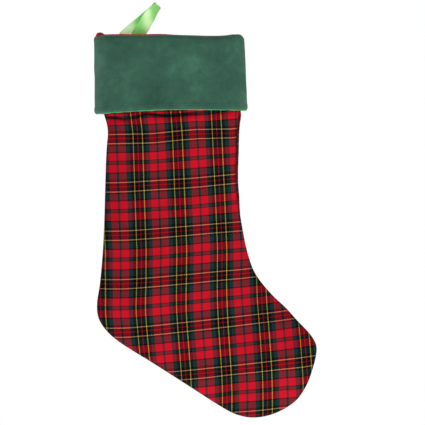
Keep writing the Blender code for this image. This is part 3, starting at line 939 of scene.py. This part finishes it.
# lighter or darker spots on the velour's front, u, v, reach in mm, and how much: most are the nap's own
# tone, those at the heel end (u -6, -4) and the instep end (u 166) are painted sheen, and those along the
# rim (v 2, 4) are painted shade where the cuff turns over
NAP_SPOTS_AND_PAINTED_LIGHT = ((105, 36, 13, 0.42), (80, 44, 9, 0.2), (110, 68, 9, 0.2), (-6, 30, 9, 0.3), (-4, 62, 7, 0.1),
           (65, 79, 15, -0.42), (50, 66, 12, -0.12), (138, 28, 12, -0.16), (16, 24, 12, -0.2),
           (10, 2, 10, -0.3), (90, 4, 14, -0.1), (30, 80, 10, 0.12), (166, 26, 8, 0.1), (120, 82, 14, -0.1),
           (150, 56, 20, -0.22))
# the facing from its top behind the velour, round its folded edge and up: below the hem, inset, mm
FACING_PROFILE = ((-80.0, 4.6), (-60.0, 4.2), (-40.0, 3.9), (-20.0, 3.7), (-8.0, 3.5), (-3.0, 2.8),
                  (-0.5, 1.5),
                  (0.4, 0.8), (1.0, 0.5), (1.4, 0.6), (1.7, 1.1), (1.5, 1.7), (1.0, 2.2), (-2.0, 3.5))


def bulge(t):
    return np.maximum(0, 1 - t * t) ** ROUNDNESS


def cuff_u(t):
    return CUFF_HEEL + (CUFF_INSTEP - CUFF_HEEL) * (1 + t) / 2


def hem_depth(t):
    return CUFF_DEPTH + (CUFF_DEPTH_HEEL - CUFF_DEPTH) * np.maximum(0, (0.05 - t) / 1.05) ** 1.3


def cuff_surface(t, v, inset, side):
    """A point of the cuff's section: t from heel end -1 to instep end 1, v below the rim."""
    f = np.clip(v / CUFF_DEPTH, 0, 1)
    heel = CUFF_HEEL + 0.9 * MM + 1.1 * MM * f + inset
    instep = CUFF_INSTEP + CUFF_FLARE * f - 2.6 * MM * np.clip(1 - v / (9 * MM), 0, 1) ** 2 - inset
    half = CUFF_HALF_RIM + (CUFF_HALF_HEM - CUFF_HALF_RIM) * f ** 0.7 - inset
    u = heel + (instep - heel) * (1 + t) / 2
    high = RIM_Z - v - rim_dip(u) * np.clip(1 - v / (40 * MM), 0, 1)
    return np.stack((U0_X + u, side * (HALF_GAP + half * bulge(t)), high), axis=-1)


def rim_dip(u):
    """How far the rim sags below its straight line: a soft wave that rises again near the instep."""
    u = u / MM
    return MM * (1.2 * hump(u, 130, 22) - 1.9 * hump(u, 164, 11) - 0.5 * hump(u, 72, 12) + 0.8)


def cuff_profile():
    """Rows of the velour from inside the mouth, over the rim, down and round the hem.

    Each row is (measured from, distance, inset): from the rim, along the drop as a share, or from the hem.
    """
    rows = [("rim", 9.0, 5.6), ("rim", 6.0, 6.1), ("rim", ROLL / MM, 2 * ROLL / MM)]
    rows += [("rim", ROLL / MM * (1 - math.sin(a)), ROLL / MM * (1 + math.cos(a)))
             for a in np.linspace(0.4, math.pi - 0.25, 8)]
    rows += [("rim", d, 0.0) for d in (3.6, 4.4, 5.0, 5.6, 6.4, 8.0, 11.0)]
    rows += [("drop", share, 0.0) for share in np.linspace(0, 1, 19)]
    rows += [("hem", -d, 0.0) for d in (8.5, 6.6, 5.6, 5.0, 4.5, 4.0, 3.4, 2.9, 2.5, 2.2, 1.8, 1.3, 0.7)]
    rows += [("hem", 0.0, 0.35), ("hem", 0.25, 1.0), ("hem", 0.0, 1.7), ("hem", -1.2, 2.1),
             ("hem", -9.0, 2.2)]
    return rows


def make_cuff(materials, side, word):
    hem = hem_depth(ACROSS)
    rows, flat_v, outside = [], [], []
    for origin, distance, inset in cuff_profile():
        if origin == "rim":
            v = np.full(COLUMNS, distance * MM)
        elif origin == "hem":
            v = hem + distance * MM
        else:
            v = 15 * MM + (hem - 27 * MM) * distance
        seen = inset < 0.5 if origin == "hem" else inset <= 1.5 * ROLL / MM
        rows.append(cuff_surface(ACROSS, v, inset * MM, side))
        flat_v.append(v if inset < 1 else np.full(COLUMNS, -inset * MM))
        outside.append(np.full(COLUMNS, float(seen)))
    verts = np.array(rows).reshape(-1, 3)
    u, v = np.tile(cuff_u(ACROSS), len(rows)), np.array(flat_v).ravel()
    faces = grid_faces(len(rows), COLUMNS, flip=side > 0)
    obj = finish_mesh("velour_" + word, verts, faces, materials["velour"], np.stack((u, v), 1))
    normals = read_vectors(obj.data.vertex_normals, "vector")
    lift = cuff_relief(u / MM, v / MM, np.tile(hem, len(rows)) / MM, side) * np.array(outside).ravel()
    verts = verts + normals * (lift * MM)[:, None]
    obj.data.vertices.foreach_set("co", verts.astype(np.float32).ravel())
    obj.data.update()
    # nap tone with painted sheen at the ends and painted shade along the rim, for the velour's colour
    set_value(obj, "nap_and_painted_light", nap_and_painted_light(u / MM, v / MM, side))
    thicken(obj, VELOUR)
    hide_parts("cuff_" + word)


def cuff_relief(u, v, hem, side):
    """Soft dents, the grooves of the stitch rows and the seam ridges of the velour, in millimetres."""
    below = hem - v
    lift = swells(u, v, 42, 34, side * 5.0) + 0.28 * swells(u, v, 13, 17, side * 9.0)
    lift *= 0.35 + 0.65 * smoothstep(2, 18, v)
    for row in HEM_ROWS:
        lift = lift - 0.65 * hump(below, row, 0.8)
    lift -= 0.55 * hump(v, MOUTH_ROW, 0.65)
    return lift + 0.45 * hump(u, CUFF_INSTEP / MM - 5.0, 1.1) + 0.35 * hump(u, CUFF_HEEL / MM + 4.5, 1.2)


def nap_and_painted_light(u, v, side):
    """How much lighter the velour is than its middle tone: the nap's own spots, with painted sheen at both
    ends of the cuff and painted shade along its rim.
    """
    spots = sum(much * hump(u, at, reach) * hump(v, deep, reach) for at, deep, reach, much in NAP_SPOTS_AND_PAINTED_LIGHT)
    # painted sheen on the heel and instep ends, and painted shade along the rim where the top turns over
    ends = 0.55 * np.exp(-(u - CUFF_HEEL / MM) / 7) + 0.35 * np.exp((u - CUFF_INSTEP / MM) / 5)
    return spots * (1.0 if side < 0 else -0.6) + ends - 0.18 * (1 - smoothstep(2, 12, v))


def make_facing(materials, side, word):
    """Satin strip behind the velour, which shows as an edge under the hem."""
    hem = hem_depth(ACROSS)
    wave = 0.18 * MM * np.sin(ACROSS * 41 + side) + 0.12 * MM * np.sin(ACROSS * 97)
    rows = [cuff_surface(ACROSS, hem + d * MM + wave * (d > -1), inset * MM, side)
            for d, inset in FACING_PROFILE]
    u = np.tile(cuff_u(ACROSS), len(rows))
    steps = [abs(a[0] - b[0]) * MM for a, b in zip(FACING_PROFILE, FACING_PROFILE[1:])]
    v = np.repeat(np.cumsum([0] + steps), COLUMNS)
    faces = grid_faces(len(rows), COLUMNS, flip=side > 0)
    obj = finish_mesh("facing_cloth_" + word, np.array(rows).reshape(-1, 3), faces, materials["facing"],
                      np.stack((v, u), 1))
    # an even middle value on the facing: no painted highlight band
    set_value(obj, "painted_sheen", np.full(len(u), 0.5))
    thicken(obj, FACING)
    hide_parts("cuff_facing_" + word)


# ------------------------------------------------------------------ stitching


def stitch_run(path, normals, pitch, gap, radius, sink):
    """Vertices and faces of single stitches along a path, each one dipping into the cloth at its ends."""
    path, normals = np.asarray(path, float), np.asarray(normals, float)
    steps = np.linalg.norm(np.diff(path, axis=0), axis=1)
    reach = np.concatenate(([0], np.cumsum(steps)))
    verts, faces = [], []
    sides, rings = 6, 6
    for k in range(int(reach[-1] / pitch)):
        begin = k * pitch + gap / 2
        end = begin + pitch - gap
        if end > reach[-1]:
            break
        at = np.linspace(begin, end, rings)
        spine = np.stack([np.interp(at, reach, path[:, c]) for c in range(3)], 1)
        up = np.stack([np.interp(at, reach, normals[:, c]) for c in range(3)], 1)
        up /= np.linalg.norm(up, axis=1)[:, None]
        ease = np.sin(np.linspace(0, math.pi, rings))
        spine += up * (sink * (ease[:, None] ** 0.7 - 1) + radius * 0.5)
        tangent = np.gradient(spine, axis=0)
        tangent /= np.linalg.norm(tangent, axis=1)[:, None]
        cross = np.cross(tangent, up)
        base = len(verts)
        for i in range(rings):
            size = radius * (0.45 if i in (0, rings - 1) else 1.0)
            for j in range(sides):
                a = 2 * math.pi * j / sides
                verts.append(spine[i] + size * (math.cos(a) * cross[i] + math.sin(a) * up[i]))
        for i in range(rings - 1):
            for j in range(sides):
                a, b = base + i * sides + j, base + i * sides + (j + 1) % sides
                faces.append((a, b, b + sides, a + sides))
        faces.append(tuple(base + j for j in range(sides))[::-1])
        faces.append(tuple(base + (rings - 1) * sides + j for j in range(sides)))
    return verts, faces


def stitch_piece(name, runs, material, node, pitch=3.1, gap=0.7, radius=0.26, sink=0.5):
    """One piece of all the stitches along some runs; the stitch's sizes are in millimetres."""
    verts, faces = [], []
    for path, normals in runs:
        v, f = stitch_run(path, normals, pitch * MM, gap * MM, radius * MM, sink * MM)
        faces += [tuple(i + len(verts) for i in face) for face in f]
        verts += v
    obj = finish_mesh(name, verts, faces, material, None)
    fix_normals(obj)
    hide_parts(node)


def cuff_row(side, from_hem=None, from_rim=None):
    """Path and outward directions of a stitch row on the velour."""
    t = -np.cos(np.pi * np.linspace(0.02, 0.98, 160))
    v = hem_depth(t) - from_hem * MM if from_hem is not None else np.full(len(t), from_rim * MM)
    path = cuff_surface(t, v, 0.0, side)
    behind, ahead = (cuff_surface(np.clip(t + d, -1, 1), v, 0.0, side) for d in (-1e-3, 1e-3))
    out = np.cross(ahead - behind, (0, 0, 1.0))
    out /= np.linalg.norm(out, axis=1)[:, None]
    out *= np.sign(out[len(out) // 2, 1]) * side
    lift = cuff_relief(cuff_u(t) / MM, v / MM, hem_depth(t) / MM, side)
    return path + out * (lift * MM)[:, None], out


def make_stitches(materials, seam):
    for side, word in SIDES:
        for row, height, thread, radius in (("upper", HEM_ROWS[0], "green_thread", 0.32),
                                            ("lower", HEM_ROWS[1], "hem_thread", 0.36)):
            stitch_piece("hem_thread_%s_%s" % (row, word), [cuff_row(side, from_hem=height)],
                         materials[thread], "hem_stitch_%s_%s" % (row, word),
                         radius=radius, sink=0.35)
        stitch_piece("mouth_thread_" + word, [cuff_row(side, from_rim=MOUTH_ROW)], materials["green_thread"],
                     "mouth_stitch_" + word)
    # the bag's seam lies in the groove between the two panels
    into = seam_inward(seam)
    keep = seam[:, 1] > 20 * MM
    v, u = seam[keep, 1] / MM, seam[keep, 0] / MM
    turned = turned_seam(u, v)
    path = world_points((seam - into * 0.05 * MM)[keep], -(SEAM_TURN + 0.3 * MM) * turned)
    path[:, 0] -= (SEAM_PULL - 0.5 * MM) * turned
    out = np.stack((-into[keep, 0], np.zeros(keep.sum()), into[keep, 1]), 1)
    across = out * (1 - turned)[:, None] + np.array((0.35, -0.94, 0)) * turned[:, None]
    across /= np.linalg.norm(across, axis=1)[:, None]
    # near-black thread: partly its own colour, partly painted shade for the groove between the panels
    stitch_piece("bag_seam_thread", [(path, across)], materials["seam_thread"], "body_seam",
                 pitch=2.6, gap=0.5, radius=0.34, sink=0.5)
    path = world_points((seam + into * (LINING_INSET + 1.1 * MM))[keep], np.zeros(keep.sum()))
    stitch_piece("lining_seam_thread", [(path, -out)], materials["red_thread"], "lining_seam",
                 pitch=2.6, gap=0.5, radius=0.3, sink=0.3)


def make_cuff_seams(materials):
    """Thread down each side of the cuff, where its front and back are sewn; cuff_relief raises the welt
    there.
    """
    for word, t, sign in (("heel", -1.0, -1), ("instep", 1.0, 1)):
        hem = float(hem_depth(np.array([t]))[0])
        v = np.linspace(3.6 * MM, hem - 0.8 * MM, 70)
        path = cuff_surface(np.full(len(v), t), v, 0.7 * MM, 1.0)
        path[:, 1] = 0
        out = np.tile((float(sign), 0.0, 0.0), (len(v), 1))
        stitch_piece("cuff_seam_thread_" + word, [(path, out)], materials["green_thread"],
                     "cuff_seam_" + word, pitch=2.6, gap=0.4, radius=0.3, sink=0.4)


# ------------------------------------------------------------------ ribbon

RIBBON = 16.0 * MM
RIBBON_THICK = 0.45 * MM
TAIL = 20 * MM  # each end, inside the mouth
TAIL_STEP = 1.2 * MM
RIBBON_POINTS = 13  # across its width
# The loop from the front foot over the hook to the back foot. Each station is x, y and height above
# the hook's line in mm, then how steeply the ribbon climbs and how far it is turned edge-on, in degrees.
LOOP = ((-24.6, 3.2, -39.5, 56, 0), (-16.9, -1.0, -28.5, 61, 4), (-10.6, -3.4, -17.8, 63, 14),
        (-4.9, -3.2, -9.4, 60, 40), (-0.5, -1.6, -4.6, 61, 57), (1.5, -0.5, -1.6, 62, 63),
        (0.8, 0.0, -0.3, 63, 65), (-0.4, 0.5, -1.5, 58, 63), (-3.2, 1.8, -5.6, 48, 55),
        (-9.5, 4.5, -12.3, 41, 42), (-16.6, 5.2, -19.6, 40, 24), (-31.2, 5.0, -32.2, 39, 4),
        (-39.4, 4.3, -39.4, 40, 0))


def ribbon_line():
    """Centres of the ribbon round the loop, and its width directions."""
    stations = []
    for x, y, z, climb, turn in LOOP:
        climb, turn = math.radians(climb), math.radians(turn)
        wide = (math.cos(turn) * math.sin(climb), math.sin(turn), -math.cos(turn) * math.cos(climb))
        stations.append((x, y, z) + tuple(6.0 * w for w in wide))
    line = smooth_line(stations, 0.7)
    return [Vector(p[:3]) * MM for p in line], [Vector(p[3:]).normalized() for p in line]


def ribbon_painted_sheen(s, z, in_front):
    """Painted highlight on the satin, 0 to 1: a pale band that crosses the front leg, and the pale foot of
    the back leg.
    """
    if in_front:
        middle = 1.0 - 2.0 * (z + 28.0) / 17.0
        band = hump(s, middle, 0.95) * smoothstep(-36, -27, z) * (1 - smoothstep(-13, -7, z))
        return 0.12 + 0.78 * float(band)
    return 0.15 + 0.75 * float(smoothstep(-22, -34, z)) if z > -40 else 0.5


def add_tails(centres, widths):
    """Lengthens the ribbon at both ends, down into the mouth, where the two ends lie face to face."""
    for end, inner, sign in ((0, 1, 1), (-1, -2, -1)):
        tail_centres, tail_widths = [], []
        place = centres[end].copy()
        way = (centres[end] - centres[inner]).normalized()
        for k in range(int(TAIL / TAIL_STEP)):
            way = way.lerp(Vector((0, 0, -1)), 0.18).normalized()
            place = place + way * TAIL_STEP
            place.y = place.y + (HINGE.y - sign * 0.5 * MM - place.y) * 0.25
            tail_centres.append(place.copy())
            tail_widths.append(widths[end].lerp(Vector((1, 0, 0)), min(1, k / 6)))
        if end == 0:
            centres, widths = tail_centres[::-1] + centres, tail_widths[::-1] + widths
        else:
            centres, widths = centres + tail_centres, widths + tail_widths
    return centres, widths


def make_ribbon(materials):
    centres, widths = add_tails(*ribbon_line())
    count = len(centres)
    verts, uvs, painted_sheen = [], [], []
    run = 0.0
    top = max(range(count), key=lambda k: centres[k].z)
    for i in range(count):
        ahead = (centres[min(i + 1, count - 1)] - centres[max(i - 1, 0)]).normalized()
        wide = widths[i] - ahead * widths[i].dot(ahead)
        wide.normalize()
        normal = wide.cross(ahead)
        if i:
            run += (centres[i] - centres[i - 1]).length
        for s in np.linspace(-1, 1, RIBBON_POINTS).tolist():
            cup = 0.3 * MM * (s * s - 0.3) + 0.12 * MM * math.sin(run / (3.7 * MM) + 4 * s)
            verts.append(centres[i] + wide * (s * RIBBON / 2) + normal * cup)
            uvs.append((s * RIBBON / 2 + RIBBON / 2, run))
            painted_sheen.append(ribbon_painted_sheen(s, centres[i].z / MM, i < top))
    obj = finish_mesh("ribbon", verts, grid_faces(count, RIBBON_POINTS), materials["ribbon"], uvs, body=None)
    # painted highlight bands on the ribbon's satin
    set_value(obj, "painted_sheen", painted_sheen)
    thicken(obj, RIBBON_THICK, offset=0)
    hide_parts("hanger_loop", "hanger_tails")
    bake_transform(obj)


def make_bartack(materials):
    lo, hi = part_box("hanger_bartack")
    rows, turns = 9, 12
    x, y = np.linspace(lo.x, hi.x, turns), np.full(turns, lo.y + 0.2 * MM)
    zigzag = np.where(np.arange(turns) % 2, 0.35 * MM, -0.35 * MM)
    runs = []
    for k in range(rows):
        z = hi.z - (hi.z - lo.z) * (k + 0.5) / rows
        runs.append((np.stack((x, y, z + zigzag), 1), np.tile((0, -1.0, 0), (turns, 1))))
    stitch_piece("hanger_thread", runs, materials["ribbon_thread"], "hanger_bartack",
                 pitch=2.4, gap=0.3, radius=0.26, sink=0.3)


# ------------------------------------------------------------------ the lining's rolled corner


def make_corner_roll(materials):
    """A roll of lining that stands up at the heel-side corner of the mouth, open toward the mouth."""
    lo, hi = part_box("lining_corner_roll")
    base = lo.z - 3.4 * MM
    middle = Vector(((lo.x + hi.x) / 2 + 1.9 * MM, 0, base + 3.0 * MM))
    arch = smooth_line(((-5.0, -3.0), (-5.5, 0.4), (-4.0, 3.2), (-0.6, 4.4), (2.8, 3.7), (5.2, 1.3),
                        (6.0, -1.6)), 0.5)
    count, across = len(arch), 12
    verts, uvs = [], []
    for j in range(across):
        s = j / (across - 1)
        back = -3.2 * MM + 7.4 * MM * s
        shut = max(0.03, math.cos(s ** 1.6 * math.pi / 2))
        flare = 1 + 0.10 * math.sin(min(1, s / 0.15) * math.pi)
        for i, (x, z) in enumerate(arch):
            droop = 0.9 * MM * max(0.0, i / (count - 1) - 0.35) * (1 - s)  # lower in front, toward the mouth
            verts.append(middle + Vector((x * shut * flare * MM, back, z * shut * flare * MM - droop)))
            uvs.append((i * 0.5 * MM, s * 8 * MM))
    obj = finish_mesh("lining_roll", verts, grid_faces(across, count), materials["lining"], uvs)
    # painted shade on the end of the roll that turns toward the mouth, where its hollow is
    set_value(obj, "fold", [0.85 * smoothstep(0.55, 0.95, (k % count) / (count - 1))
                            for k in range(len(verts))])
    fix_normals(obj)
    thicken(obj, 1.1 * MM)
    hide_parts("lining_corner_roll")
    return obj


# ------------------------------------------------------------------ assembly


THREADS = {  # light and dark of the twist, as display colours
    "green_thread": ((40, 74, 60), (24, 50, 40)), "hem_thread": ((112, 98, 84), (70, 64, 54)),
    # the bag's seam thread is near-black: partly the thread's own colour, partly painted shade for the
    # groove it lies in
    "seam_thread": ((40, 30, 30), (16, 10, 12)), "red_thread": ((200, 24, 34), (150, 10, 20)),
    "ribbon_thread": ((140, 214, 110), (104, 184, 80)),
}


def make_materials():
    materials = {
        "tartan": tartan_material("tartan"),
        "velour": velour_material("velour"),
        "lining": lining_material("lining"),
        "facing": satin_material("satin_facing", srgb(0, 188, 112), srgb(0, 160, 92), 0.4 * MM, sheen=0.05),
        "ribbon": satin_material("ribbon", srgb(212, 246, 182), srgb(116, 212, 92), 0.35 * MM),
    }
    for name, (light, dark) in THREADS.items():
        materials[name] = thread_material(name, srgb(*light), srgb(*dark))
    return materials


def main():
    make_camera()
    make_stage()
    materials = make_materials()
    seam, linings, cut, area = make_bag(materials)
    roll = make_corner_roll(materials)
    for side, word in SIDES:
        make_cuff(materials, side, word)
        make_facing(materials, side, word)
    make_cuff_seams(materials)
    make_stitches(materials, seam)
    make_ribbon(materials)
    make_bartack(materials)


main()
